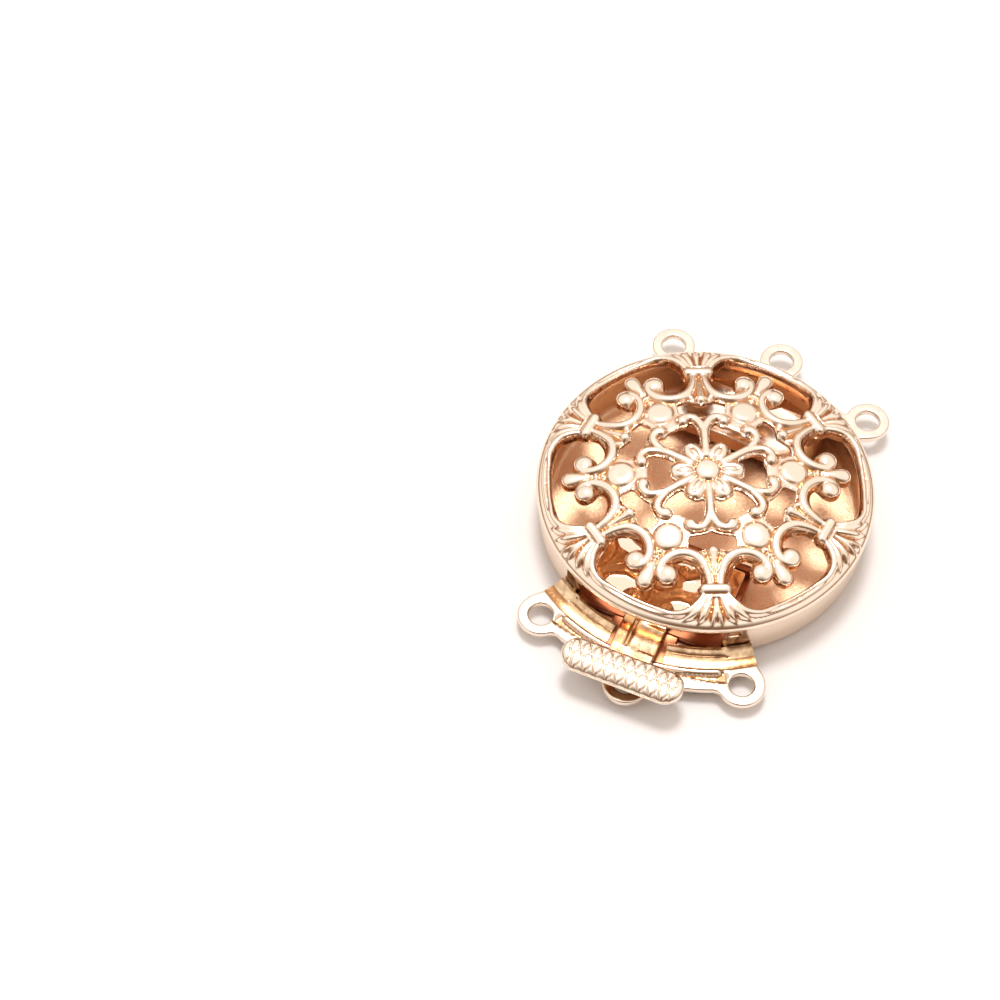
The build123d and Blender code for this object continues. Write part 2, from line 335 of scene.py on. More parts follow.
def region_mesh(region, low, high, step, rings):
    """Flat triangles where a field is below zero, with points in rings along its border."""
    grid = hex_grid(low, high, step)
    value = region(grid)
    border = grid[np.abs(value) < 0.9 * step]
    for _ in range(4):
        level, slope = value_and_slope(region, border)
        size = np.maximum((slope**2).sum(axis=1), 0.2)
        border = border - (level / size)[:, None] * slope
    _, slope = value_and_slope(region, border)
    inward = -slope / np.maximum(np.hypot(*slope.T), 1e-6)[:, None]
    _, first = np.unique(np.round(border / (0.45 * step)).astype(int), axis=0, return_index=True)
    border, inward = border[first], inward[first]
    spots = [border]
    for ring in rings:
        moved = border + inward * ring
        spots.append(moved[region(moved) < -0.6 * ring])
    deepest = max(rings) if rings else 0
    spots.append(grid[value < -(deepest + 0.5 * step)])
    flat, faces = triangles_between(np.vstack(spots))
    middle = flat[faces].mean(axis=1)
    faces = faces[region(middle) < -1e-3]
    area = facing_up(flat, faces)
    return flat, faces[area > 1e-7]


def rounded_sheet(region, low, high, step, bottom, top, rounding, raise_top=None, raise_bottom=None):
    """A sheet with rounded edges. The raise functions bend or emboss its two faces."""
    swing = np.radians([20, 40, 60, 78])
    rings = list(rounding * (1 - np.cos(swing))) + [rounding]
    flat, faces = region_mesh(region, low, high, step, rings)
    depth = np.clip(-region(flat), 0, rounding)
    drop = rounding - np.sqrt(np.maximum(rounding**2 - (rounding - depth) ** 2, 0))
    upper = top - drop + (raise_top(flat) if raise_top else 0)
    lower = bottom + drop + (raise_bottom(flat) if raise_bottom else 0)
    count = len(flat)
    points = np.vstack([np.column_stack([flat, upper]), np.column_stack([flat, lower])])
    shapes = [tuple(face) for face in faces] + [tuple(face[::-1] + count) for face in faces]
    shapes += [(second, first, first + count, second + count) for first, second in border_edges(faces)]
    return points, shapes


def revolved(profile, start, end, step_angle=1.25):
    """Surface of a profile of radius and height rows, swept between two angles."""
    count = max(2, int(round((end - start) / step_angle)) + 1)
    angles = np.radians(np.linspace(start, end, count))
    profile = np.array(profile, float)
    points = np.array([[radius * math.cos(a), radius * math.sin(a), level]
                       for a in angles for radius, level in profile])
    width = len(profile)
    faces = [(row * width + k, (row + 1) * width + k, (row + 1) * width + k + 1, row * width + k + 1)
             for row in range(count - 1) for k in range(width - 1)]
    return points, faces


def shell(angles, pairs, solid):
    """Wall between paired outer and inner profile rows, where a test of angle and row says solid."""
    rows, width = len(angles), len(pairs)
    turn = np.radians(angles)
    outer, inner = [np.array([[pair[side][0] * math.cos(a), pair[side][0] * math.sin(a), pair[side][1]]
                              for a in turn for pair in pairs]) for side in (0, 1)]
    count = len(outer)
    filled = np.array([[solid((angles[i] + angles[i + 1]) / 2, k) for k in range(width - 1)]
                       for i in range(rows - 1)])
    closed = abs(angles[-1] - angles[0] - 360) < 1e-6
    out_faces, in_faces, edge_faces = [], [], []
    for i, k in zip(*np.nonzero(filled)):
        a, b, c, d = i * width + k, (i + 1) * width + k, (i + 1) * width + k + 1, i * width + k + 1
        out_faces.append((d, c, b, a))
        in_faces.append((count + a, count + b, count + c, count + d))
        sides = [((a, b), (i, k - 1)), ((b, c), (i + 1, k)), ((c, d), (i, k + 1)), ((d, a), (i - 1, k))]
        for (first, second), (row, column) in sides:
            if closed:
                row %= rows - 1
            inside = 0 <= row < rows - 1 and 0 <= column < width - 1 and filled[row, column]
            if not inside and not (column == width - 1 and pairs[-1][0][0] < 0.1):
                edge_faces.append((first, second, count + second, count + first))
    return np.vstack([outer, inner]), out_faces, in_faces, edge_faces


def closed_rings(rows, count):
    """Faces between rings of points that follow each other, and the two end faces."""
    faces = [(row * count + k, row * count + (k + 1) % count, (row + 1) * count + (k + 1) % count,
              (row + 1) * count + k) for row in range(rows - 1) for k in range(count)]
    return faces + [tuple(range(count))[::-1], tuple(range((rows - 1) * count, rows * count))]


def tube(path, radius, sides=10):
    """Round bead along a path of points, with closed ends."""
    path = np.array(path, float)
    along = np.gradient(path, axis=0)
    along /= np.linalg.norm(along, axis=1)[:, None]
    up = np.array([0, 0, 1.0])
    points = []
    for spot, way in zip(path, along):
        side = np.cross(way, up)
        side /= max(np.linalg.norm(side), 1e-6)
        top = np.cross(side, way)
        points += [spot + radius * (math.cos(t) * side + math.sin(t) * top)
                   for t in np.linspace(0, 2 * math.pi, sides, endpoint=False)]
    return np.array(points), closed_rings(len(path), sides)


# Cover: right halves of the openings, in smooth runs that each start at the last one's end

large_runs = [
    [(0, 100), (9.5, 99.55), (17.6, 98.4)],
    [(24.8, 96.5), (31.0, 92.6), (33.6, 85.8)],
    [(34.3, 81.7), (32.1, 78.5)],
    [(32.0, 74.1), (30.1, 69.6), (26.0, 66.8), (20.4, 65.3), (14.9, 66.4), (11.6, 69.5)],
    [(15, 72.4), (17.2, 75.1), (18.2, 78.2), (17.7, 81.3),
     (16.1, 83.6), (13.4, 85.2), (10.4, 85.7), (7.7, 84.9), (5.6, 83.3)],
    [(6.1, 85.9), (6.1, 88.7), (5, 91.1), (2.9, 93), (0, 93.6)],
]
bud_runs = [
    [(0, 54.9), (4.0, 56.7), (8.1, 58.3), (12.1, 57.5), (15.8, 55.9)],
    [(15.0, 48.6), (13.8, 47.4)],
    [(7.3, 46.6), (3.2, 45.7), (0, 44.1)],
]
strut_runs = [
    [(0, 23.9), (4.5, 23.1), (6.7, 20.5)],
    [(8.3, 20.9), (10.7, 24.7), (13.1, 30.8), (13.4, 35.3), (12.3, 38.3)],
    [(7.4, 37.1), (4.5, 38.5), (0, 38.4)],
]

# Cover: raised strands beside a tie, each row is across, out, half width and height

scroll_rows = [
    (3.2, 81, 2.3, 2.4), (4.3, 73.4, 2.8, 2.8), (7.4, 65.6, 3.2, 3.1), (13.2, 61, 3.3, 3.2),
    (20, 59.6, 3.3, 3.2), (26.3, 61, 3.3, 3.2), (31.5, 64.6, 3.3, 3.2), (34.1, 69.8, 3.2, 3.2),
    (33.3, 74.8, 3.2, 3.2), (30.8, 76.4, 3, 3.1),
]
curl_bead = (29.6, 73.9, 6.6, 4)
horn_rows = [
    (0.4, 31, 2.6, 2.2), (2.6, 38, 2.9, 2.7), (5.6, 41.8, 3, 2.9), (9.4, 42.8, 3.1, 3),
    (12.2, 41.6, 3.8, 3.2), (13.2, 40.4, 4.2, 3.2),
]
strut_rows = [(0, 12, 2.7, 2.2), (0, 22.7, 2.9, 2.6), (0, 31, 3.2, 2.7), (0, 37, 2, 2)]
stalk_rows = [(0, 60.5, 3, 2.6), (0, 65, 2.1, 2.2), (0, 73, 1, 1.3), (0, 80, 0.6, 0.6)]
bud_bead = (0, 59.1, 3.9, 3.2)
side_bead = (6.4, 61, 1.8, 1.5)
leaf_rows = [(0, 89, 1.3, 1.8), (0, 95.5, 2.3, 2.9), (0, 101, 4, 3.4), (0, 105, 4.6, 2.4)]
notch_rows = [(0, 99.5, 0.6, 0.9), (0, 106.5, 2.4, 3)]
flute_rows = [
    [(3, 88.6, 1.5, 2.4), (5.6, 95.5, 2.3, 4), (8.8, 101, 2.7, 4), (12.4, 105.4, 0.8, 0.9)],
    [(5.4, 88.4, 1.6, 2.5), (9.3, 94.9, 2.4, 4), (14.8, 99.8, 2.6, 3.8), (21.5, 103.4, 0.7, 0.8)],
    [(7.8, 88, 2, 2.8), (12.3, 93.9, 2.7, 4), (18.8, 98.2, 2.8, 3.8), (28, 98.6, 2, 2.9),
     (37.8, 94.2, 1.4, 2), (45, 90.7, 1.3, 1.7), (52, 86.6, 1.3, 1.6)],
    [(24, 101.2, 0.7, 0.6), (30, 99.6, 1.1, 1.5), (38.9, 96.5, 1.1, 1.5), (46.4, 93.1, 1.1, 1.5),
     (52.1, 90.2, 1.1, 1.5)],
]
fleur_rows = [(0, 88, 5.6, 3.8), (0, 84.5, 5.2, 3.6), (0, 80.5, 3.7, 3.1), (0, 76, 1.8, 2.2),
              (0, 73.6, 1.1, 1.3)]
fleur_beads = [(0, 71, 1.8, 1.9), (0, 66.8, 1.6, 1.5)]
disc_boss = (0, 55.4, 9.1, 2.2)
middle_boss = (0, 0, 8.3, 2.9)
petal_middle, petal_width, petal_length, petal_height = 15.8, 5.9, 8.4, 2.5
oval_middle, oval_width, oval_length, oval_groove = 14.0, 2.0, 5.2, 1.1
tie_middle, tie_reach, tie_half, tie_height = 84.2, 6.6, 3.8, 3.8
lip_middle, lip_reach, lip_half, lip_height = 88.9, 5.6, 1, 2.8
ground_level = -1.6
fullness = 2.5


def opening_line(runs, about_fleur):
    """Half outline of an opening between a tie and a fleur, from runs in shares of the field."""
    starts = [[]] + [run[-1:] for run in runs[:-1]]
    path = np.vstack([spline(np.array(start + run) * share) for start, run in zip(starts, runs)])
    path = even_path(path, grid_step)
    if about_fleur:
        path[:, 0] *= -1
        path = turned(path, -180 / repeats)
    return path


def dome(radius):
    return cover_crown - dome_radius + np.sqrt(dome_radius**2 - radius**2)


rim_start = cover_radius - rim_bend * (1 - field / dome_radius)
rim_tilt = math.asin(rim_start / dome_radius)
rim_start = cover_radius - rim_bend * (1 - math.sin(rim_tilt))
rim_end = rim_start + rim_bend * (math.pi / 2 - rim_tilt)


def rim_base(way):
    """Radius, height and outward lean of the plain cover at a way from its centre."""
    angle = np.where(way < rim_start, np.arcsin(np.minimum(way, rim_start) / dome_radius),
                     rim_tilt + np.clip((way - rim_start) / rim_bend, 0, math.pi / 2 - rim_tilt))
    radius = np.where(way < rim_start, way, rim_start + rim_bend * (np.sin(angle) - math.sin(rim_tilt)))
    level = np.where(way < rim_start, dome(np.minimum(way, rim_start)),
                     dome(rim_start) + rim_bend * (np.cos(angle) - math.cos(rim_tilt)))
    return radius, level - np.maximum(way - rim_end, 0), np.sin(angle), np.cos(angle)


def near_strand(points, rows, per_span=8):
    """Distance to a strand's middle line, its half width and height there, and the side."""
    path = spline(np.array(rows) * share, per_span)
    best = np.full(len(points), 1e9)
    half, height, side = np.ones(len(points)), np.zeros(len(points)), np.zeros(len(points))
    for a, b in zip(path[:-1], path[1:]):
        along = b[:2] - a[:2]
        t = np.clip(((points - a[:2]) @ along) / (along @ along), 0, 1)
        offset = points - (a[:2] + t[:, None] * along)
        distance = np.hypot(*offset.T)
        closer = distance < best
        best = np.where(closer, distance, best)
        half = np.where(closer, a[2] + t * (b[2] - a[2]), half)
        height = np.where(closer, a[3] + t * (b[3] - a[3]), height)
        side = np.where(closer, np.sign(along[0] * offset[:, 1] - along[1] * offset[:, 0]), side)
    return best, half, height, side


def round_ridge(distance, half, height, power=2.0):
    return height * np.sqrt(np.clip(1 - (distance / half) ** power, 0, 1))


def bead(points, row, power=2.0):
    across, out, radius, height = np.array(row) * share
    return round_ridge(np.hypot(points[:, 0] - across, points[:, 1] - out), radius, height, power)


def strand(points, rows):
    distance, half, height, _ = near_strand(points, rows)
    return round_ridge(distance, half, height, fullness)


def bar(points, middle, reach, half, height):
    """Short raised bar that lies across a tie's axis."""
    across = np.maximum(np.abs(points[:, 0]) - reach * share, 0)
    return round_ridge(np.hypot(across, points[:, 1] - middle * share), half * share, height * share, 2.6)


def oval_reach(points, middle, width, length):
    """Distance from an upright oval's middle, where its edge is at one."""
    return np.hypot(points[:, 0] / (width * share), (points[:, 1] - middle * share) / (length * share))


def relief_height(points):
    """Height of the stamped relief over the plain sheet, for points in the wedge."""
    mirror = points * np.array([-1, 1])
    fleur_frame = turned(points, 180 / repeats)
    other = turned(fleur_frame * np.array([-1, 1]), -180 / repeats)
    layers = [np.full(len(points), ground_level * share)]
    for spot in (points, other):
        layers += [strand(spot, scroll_rows), bead(spot, curl_bead), strand(spot, horn_rows)]
    for spot in (points, mirror):
        layers += [strand(spot, rows) for rows in flute_rows]
    central = strand(points, leaf_rows) - strand(points, notch_rows)
    layers += [strand(points, strut_rows), strand(points, stalk_rows), central]
    layers += [bead(points, bud_bead), bead(points, side_bead)]
    layers += [bar(points, tie_middle, tie_reach, tie_half, tie_height),
               bar(points, lip_middle, lip_reach, lip_half, lip_height)]
    layers += [bead(fleur_frame, disc_boss, 5.0), strand(fleur_frame, fleur_rows),
               bead(points, middle_boss, 4.0)]
    layers += [bead(fleur_frame, row) for row in fleur_beads]
    petal = oval_reach(fleur_frame, petal_middle, petal_width, petal_length)
    oval = oval_reach(fleur_frame, oval_middle, oval_width, oval_length)
    groove = oval_groove * share * np.exp(-(((oval - 1.0) / 0.22) ** 2))
    layers.append(round_ridge(petal, 1.0, petal_height * share, fullness) - groove)
    return np.max(layers, axis=0)


def apron_drop(points):
    """How far the sheet slopes down on the inner side of a scroll."""
    distance, half, _, side = near_strand(points, scroll_rows)
    way = np.clip((distance - half) / (3.4 * share), 0, 1)
    near = np.clip((7.5 * share - distance) / (1.2 * share), 0, 1)
    return np.where(side > 0, 2.6 * share * way * near, 0)


def in_outline(points, outline):
    inside = np.zeros(len(points), bool)
    for a, b in zip(outline, np.roll(outline, -1, axis=0)):
        crosses = (a[1] > points[:, 1]) != (b[1] > points[:, 1])
        rise = np.where(crosses, b[1] - a[1], 1)
        at = a[0] + (points[:, 1] - a[1]) / rise * (b[0] - a[0])
        inside ^= crosses & (points[:, 0] < at)
    return inside


def distance_to(points, line):
    best = np.full(len(points), 1e9)
    for a, b in zip(line[:-1], line[1:]):
        along = b - a
        t = np.clip(((points - a) @ along) / max(along @ along, 1e-12), 0, 1)
        best = np.minimum(best, np.hypot(*(points - a - t[:, None] * along).T))
    return best


def wedge_mesh(step):
    """Flat mesh of the metal between a tie and a fleur, and the lines of its openings."""
    tie_way = np.array([0, 1.0])
    fleur_way = np.array([0.5, math.sqrt(0.75)])
    openings = [opening_line(large_runs, True), opening_line(bud_runs, False),
                opening_line(strut_runs, True)]
    cuts = [even_path(line, step) for line in openings]
    ends = [sorted([line[0] @ way, line[-1] @ way])
            for line, way in zip(cuts, (fleur_way, tie_way, fleur_way))]
    stretches = [(0, ends[1][0], tie_way), (ends[1][1], rim_end, tie_way), (0, ends[2][0], fleur_way),
                 (ends[2][1], ends[0][0], fleur_way), (ends[0][1], rim_end, fleur_way)]
    turn = np.linspace(0, math.pi / repeats, int(rim_end * math.pi / repeats / step))
    lines = list(cuts) + [np.stack([rim_end * np.sin(turn), rim_end * np.cos(turn)], 1)]
    lines += [np.linspace(low, high, max(2, int((high - low) / step) + 1))[:, None] * way
              for low, high, way in stretches]

    grid = hex_grid((0, 0), (rim_end * 0.55, rim_end), step)
    angle = np.arctan2(grid[:, 0], grid[:, 1])
    grid = grid[(angle > 0) & (angle < math.pi / repeats) & (np.hypot(*grid.T) < rim_end - 0.3 * step)]
    for cut in cuts:
        grid = grid[~in_outline(grid, cut)]
    for line in lines:
        grid = grid[distance_to(grid, line) > 0.55 * step]

    points, edges = [], []
    for line in lines:
        edges += [(len(points) + k, len(points) + k + 1) for k in range(len(line) - 1)]
        points += [tuple(spot) for spot in line]
    flat, faces = triangles_between(points + [tuple(spot) for spot in grid], edges)
    middle = flat[faces].mean(axis=1)
    area = facing_up(flat, faces)
    good = (np.hypot(*middle.T) < rim_end) & (area > 0.01 * step**2)
    for cut in cuts:
        good &= ~in_outline(middle, cut)
    return flat, faces[good], cuts


def lift(flat, height):
    """Puts plan points on the cover's form, raised along its outward direction."""
    way = np.hypot(*flat.T)
    radius, level, lean, rise = rim_base(way)
    direction = flat / np.maximum(way, 1e-9)[:, None]
    return np.column_stack([direction * (radius + height * lean)[:, None], level + height * rise])


def cover_relief(flat, cuts):
    """Relief with soft edges at the openings, calm on the rim's band."""
    height = relief_height(flat)
    other = turned(turned(flat, 180 / repeats) * np.array([-1, 1]), -180 / repeats)
    height -= np.where(height > 0, 0, np.maximum(apron_drop(flat), apron_drop(other)))
    edge = np.min([distance_to(flat, cut) for cut in cuts], axis=0)
    near = np.clip(edge_rounding - edge, 0, edge_rounding)
    height = height - (edge_rounding - np.sqrt(np.maximum(edge_rounding**2 - near**2, 0)))
    calm = np.clip((cover_radius - 0.1 - np.hypot(*flat.T)) / 0.5, 0, 1)
    return height * calm


def all_round(points, faces):
    """The whole round from one wedge: mirrored about its tie, then turned six times."""
    all_points, all_faces = [], []
    for number in range(2 * repeats):
        mirrored = number % 2 == 1
        placed = points * np.array([-1, 1, 1]) if mirrored else points.copy()
        placed[:, :2] = turned(placed[:, :2], number // 2 * 360 / repeats + cover_turn)
        all_faces.append((faces[:, ::-1] if mirrored else faces) + number * len(points))
        all_points.append(placed)
    return np.vstack(all_points), np.vstack(all_faces)


def opening_walls(cuts):
    """Strips that drop from the openings' edges to the cover's underside, and their painted shade, darker
    towards the underside.
    """
    points, faces, tint = [], [], []
    for cut in cuts:
        height = cover_relief(cut, cuts)
        rings = [lift(cut, height), lift(cut, np.full(len(cut), -cover_sheet + 0.05))]
        first = len(points)
        points += [tuple(spot) for ring in rings for spot in ring]
        faces += [(first + k, first + k + 1, first + len(cut) + k + 1, first + len(cut) + k)
                  for k in range(len(cut) - 1)]
        tint += [wall_shade_levels[0]] * len(cut) + [wall_shade_levels[1]] * len(cut)
    return np.array(points), np.array(faces), tint


def smoothed(values, faces, rounds):
    """Each point's value replaced by its neighbours' mean, a number of times over."""
    start, end = np.vstack([faces[:, [0, 1]], faces[:, [1, 2]], faces[:, [2, 0]]]).T
    start, end = np.concatenate([start, end]), np.concatenate([end, start])
    neighbours = np.bincount(start, minlength=len(values))
    for _ in range(rounds):
        values = np.bincount(start, weights=values[end], minlength=len(values)) / neighbours
    return values


def crease_shade(height, faces):
    """How far each point lies below the smoothed relief around it, from none to one: painted shade in the
    creases.
    """
    return np.clip((smoothed(height, faces, crease_rounds) - height) / crease_depth, 0, 1)


def build_cover(materials):
    """Pierced dome with its relief, walls, underside, rim and skirt."""
    flat, faces, cuts = wedge_mesh(grid_step)
    height = cover_relief(flat, cuts)
    inner = np.min([distance_to(flat, cut) for cut in cuts], axis=0) > 0.05
    height = np.where(inner, (height + smoothed(height, faces, 1)) / 2, height)
    top = all_round(lift(flat, height), faces)
    wall_points, wall_faces, walls_shade = opening_walls(cuts)
    walls = all_round(wall_points, wall_faces)
    under_flat, under_faces, _ = wedge_mesh(under_step)
    hollow = np.maximum(cover_relief(under_flat, cuts), 0) - cover_sheet
    under = all_round(lift(under_flat, hollow), under_faces[:, ::-1])
    gate = math.degrees(math.asin(gate_width / 2 / skirt_outer))
    rim = [(cover_radius, dome(rim_start) - rim_bend * math.cos(rim_tilt) + 0.02),
           (cover_radius, cover_base + 0.1), (cover_radius - 0.03, cover_base + 0.03),
           (cover_radius - 0.1, cover_base), (skirt_outer, cover_base)]
    skirt_top = dome(skirt_outer) - 0.2
    skirt = [(skirt_outer, skirt_top), (skirt_outer, skirt_bottom + 0.06), (skirt_outer - 0.06, skirt_bottom),
             (skirt_inner + 0.08, skirt_bottom), (skirt_inner, skirt_bottom + 0.08)]
    lining = [skirt[-1], (skirt_inner, skirt_top)]
    # Group one, the underside and the skirt's lining, takes the plating's painted-shade copy
    parts = [(*top, 0), (*walls, 0), (*under, 1), (*revolved(rim, 0, 360), 0),
             (*revolved(skirt, -90 + gate, 270 - gate), 0), (*revolved(lining, -90 + gate, 270 - gate), 1)]
    points, shapes, groups = joined(parts)
    calm = np.clip((np.hypot(*flat.T) - calm_start) / 0.4, 0, 1)
    painted_shade = np.zeros(len(points))
    tinted = len(top[0]) + len(walls[0])
    # Painted shade in the relief's creases, fading out on the rim's calm band
    painted_shade[: len(top[0])] = np.tile(crease_shade(height, faces) * (1 - calm), 2 * repeats)
    # Painted shade down the openings' walls
    painted_shade[len(top[0]):tinted] = np.tile(walls_shade, 2 * repeats)
    return mesh_object("filigree_cover_look", points, shapes, materials, groups, merge=0.004, painted_shade=painted_shade)


# Case: polished outside, matte inside, with the notch, the slot and its rolled lip


def case_pairs():
    """Outer and inner rows of the case's wall, from its rim down to its axis."""
    bend = np.radians(np.linspace(0, 90, 9))
    levels = (case_top, case_top - 0.06, 3.2, lug_bottom, slit_top, slot_bottom + slit_gap, slot_bottom)
    trims = (0.06, 0, 0, 0, 0, 0, 0)
    outer = [(case_radius - trim, level) for level, trim in zip(levels, trims)]
    inner = [(inner_radius + trim, level) for level, trim in zip(levels, trims)]
    outer += [(case_radius - case_corner * (1 - math.cos(a)), case_corner * (1 - math.sin(a)))
              for a in bend[1:]]
    inner += [(inner_radius - floor_corner * (1 - math.cos(a)),
               case_floor + floor_corner * (1 - math.sin(a))) for a in bend[1:]]
    base_radii = (10.0, 8.0, 6.0, 4.0, 2.0, 0.01)
    outer += [(radius, 0) for radius in base_radii]
    inner += [(radius, case_floor) for radius in base_radii]
    return list(zip(outer, inner))


def half_angle(half_width, radius):
    return math.degrees(math.asin(half_width / radius))


def build_case(materials):
    """Cup with its notch, slot and slit, and the lip rolled along the slot."""
    pairs = case_pairs()
    notch = half_angle(notch_width / 2, case_radius)
    slot = half_angle(slot_width / 2, case_radius)
    slit = half_angle(platform_width / 2 + slit_gap, case_radius)
    bar_middle = 90 + bar_turn
    special = [-90 - notch, -90 + notch, -90 - slot, -90 + slot, bar_middle - slit, bar_middle + slit]
    angles = np.unique(np.round(np.concatenate([np.linspace(-180, 180, 241), special]), 4))

    def solid(angle, row):
        middle = (pairs[row][0][1] + pairs[row + 1][0][1]) / 2
        from_front = abs(angle + 90)
        if middle > lug_bottom:
            return from_front > notch
        if middle > slot_bottom:
            in_slit = abs(angle - bar_middle) < slit and slot_bottom + slit_gap < middle < slit_top
            return from_front > slot and not in_slit
        return True

    points, outside, inside, edges = shell(angles, pairs, solid)
    swing = np.radians(np.linspace(-90 - slot + lip_inset_angle, -90 + slot - lip_inset_angle, 48))
    lip = [(lip_radius * math.cos(a), lip_radius * math.sin(a), slot_bottom + 0.03) for a in swing]
    right_end = [(lip[-1][0] + x, lip[-1][1] + y, lip[-1][2] + z) for x, y, z in lip_curl]
    left_end = [(lip[0][0] - x, lip[0][1] + y, lip[0][2] + z) for x, y, z in lip_curl]
    roll, roll_faces = tube(left_end[::-1] + lip + right_end, lip_roll)
    points, faces, groups = joined([(points, outside, 0), (points, edges, 0), (points, inside, 1),
                                    (roll, roll_faces, 2)])
    return mesh_object("case_cup_look", points, faces, materials, groups, crease=40, merge=0.002)


def build_lug(way, materials):
    """Catch lug: a strip behind the notch that frames the slot's top and one end."""
    side_angle = half_angle(slot_width / 2, skirt_inner)
    gate = half_angle(gate_width / 2, skirt_inner)
    pairs = [((skirt_outer, level), (skirt_inner, level)) for level in (lug_top, slot_top, lug_bottom)]
    angles = np.unique(np.concatenate([np.linspace(gate, lug_end_angle, 22), [side_angle]]))

    def solid(angle, row):
        return row == 0 or angle > side_angle

    points, outside, inside, edges = shell(angles, pairs, solid)
    points[:, :2] = turned(points[:, :2], -90)
    across, out = polar(skirt_outer - 0.1, -90 + gate + 0.2)
    curl, curl_faces = tube([(across, out - lean, lug_top - 0.03 - drop) for lean, drop in lug_curl],
                            lug_curl_radius)
    points, faces, _ = joined([(points, outside + inside + edges, 0), (curl, curl_faces, 0)])
    if way < 0:
        points = points * np.array([-1, 1, 1])
        faces = [face[::-1] for face in faces]
    name = "catch_lug_right" if way > 0 else "catch_lug_left"
    return mesh_object(f"{name}_look", points, faces, materials, crease=40, merge=0.002)


# Sheet pieces: loop bar, tongue plate, spring leaf and thumb pad


def inset_line(profile, inset):
    """A closed profile moved inwards, for rounded ends."""
    before, after = np.roll(profile, 1, axis=0), np.roll(profile, -1, axis=0)
    first, second = profile - before, after - profile
    first /= np.maximum(np.hypot(*first.T), 1e-9)[:, None]
    second /= np.maximum(np.hypot(*second.T), 1e-9)[:, None]
    normal = np.stack([-first[:, 1] - second[:, 1], first[:, 0] + second[:, 0]], 1)
    scale = np.maximum((normal**2).sum(axis=1) / 2, 0.5)
    return profile + inset * normal / scale[:, None]


def swept(profile, half_width, rounding=0.1):
    """Strip of a closed side profile (out, level, counterclockwise) swept across, with rounded ends."""
    swing = np.radians(np.linspace(0, 90, 5))
    ends = sorted((half_width - rounding * (1 - math.sin(a)), rounding * (1 - math.cos(a))) for a in swing)
    stations = [(-across, inset) for across, inset in ends[::-1]] + ends
    rows = [np.column_stack([np.full(len(profile), across), inset_line(profile, inset)])
            for across, inset in stations]
    count = len(profile)
    faces = [(row * count + (k + 1) % count, row * count + k, (row + 1) * count + k,
              (row + 1) * count + (k + 1) % count)
             for row in range(len(rows) - 1) for k in range(count)]
    faces += [tuple(range(count)), tuple(range((len(rows) - 1) * count, len(rows) * count))[::-1]]
    return np.vstack(rows), faces


def arc_points(middle, radius, start, end, count=8):
    angles = np.radians(np.linspace(start, end, count))
    return [(middle[0] + radius * math.cos(a), middle[1] + radius * math.sin(a)) for a in angles]


def with_loops(whole, points, loops, radius, clear_radius):
    """A sheet's field with its loops blended on and bored, and nothing inside a circle."""
    for loop in loops:
        whole = blend(whole, circle_field(points, loop, radius), loop_fillet)
    whole = np.maximum(whole, clear_radius - np.hypot(*points.T))
    for loop in loops:
        whole = np.maximum(whole, -circle_field(points, loop, loop_hole_radius))
    return whole


def build_bar(materials):
    """Three fixed loops in one sheet with the platform's folded strip."""
    middle = 90 + bar_turn
    loops = [polar(bar_loop_reach, middle + way * bar_loop_spread) for way in (-1, 0, 1)]

    def region(points):
        whole = sector_field(points, case_radius, bar_outer_radius, middle, bar_half_angle)
        return with_loops(whole, points, loops, bar_loop_radius, case_radius + 0.02)

    sheet = rounded_sheet(region, (-12, 8), (12.5, 18.6), sheet_step, bar_bottom, bar_bottom + bar_sheet,
                          sheet_rounding)
    back = math.sqrt((inner_radius - 0.1) ** 2 - (platform_width / 2) ** 2)
    top, low = platform_top, bar_bottom
    front, inner_turn, outer_turn = platform_front, strip_inner_turn, strip_outer_turn
    # Outside the case the strip is sunk into the sheet, so that no two faces share a plane
    corner = math.sqrt(case_radius**2 - (platform_width / 2) ** 2) - 0.1
    side = [(case_radius + strip_lap, low + strip_sink),
            (case_radius + strip_lap, low + bar_sheet - strip_sink),
            (corner, low + bar_sheet - strip_sink), (corner - 0.1, low + bar_sheet)]
    side += arc_points((front + bar_sheet + inner_turn, low + bar_sheet + inner_turn), inner_turn, 270, 180)
    side += arc_points((front + bar_sheet + inner_turn, top - bar_sheet - inner_turn), inner_turn, 180, 90)
    side += [(back, top - bar_sheet), (back, top)]
    side += arc_points((front + outer_turn, top - outer_turn), outer_turn, 90, 180)
    side += arc_points((front + outer_turn, low + outer_turn), outer_turn, 180, 270)
    side += [(corner - 0.1, low), (corner, low + strip_sink)]
    strip, strip_faces = swept(np.array(side), platform_width / 2)
    strip[:, :2] = turned(strip[:, :2], bar_turn)
    points, faces, groups = joined([(*sheet, 0), (strip, strip_faces, 0)])
    # Painted shade: the strip's front and lower faces inside the case take the dark fold colour
    groups = [int(points[list(face), 2].mean() < fold_level and min(points[list(face), 1]) > 0
                  and group == 0 and np.hypot(*points[list(face), :2].mean(axis=0)) < inner_radius)
              for face, group in zip(faces, groups)]
    return mesh_object("loop_bar_look", points, faces, materials, groups, crease=45, merge=0.001)


def cove_level(radius, swing):
    """Height of the plate's inner part: a band and the strip's shoulder, or a cove at the ends."""
    top = plate_bottom + plate_sheet
    hollow = 1 - np.sqrt(np.clip(1 - ((plate_inner_radius + 0.05 - radius) / cove_reach) ** 2, 0, 1))
    inward = (plate_inner_radius - radius) / (plate_inner_radius - crease_radius)
    band = cove_band_rise * np.clip(inward, 0, 1) ** 2
    outward = (radius - cove_back) / (crease_radius - cove_back)
    shoulder = (cove_rise - cove_shoulder_drop) * np.sqrt(np.clip(1 - outward**2, 0, 1))
    middle = np.where(radius > crease_radius, band, shoulder)
    mix = np.clip((swing - end_angle) / 2.0, 0, 1)
    return top + middle * (1 - mix) + cove_rise * hollow * mix


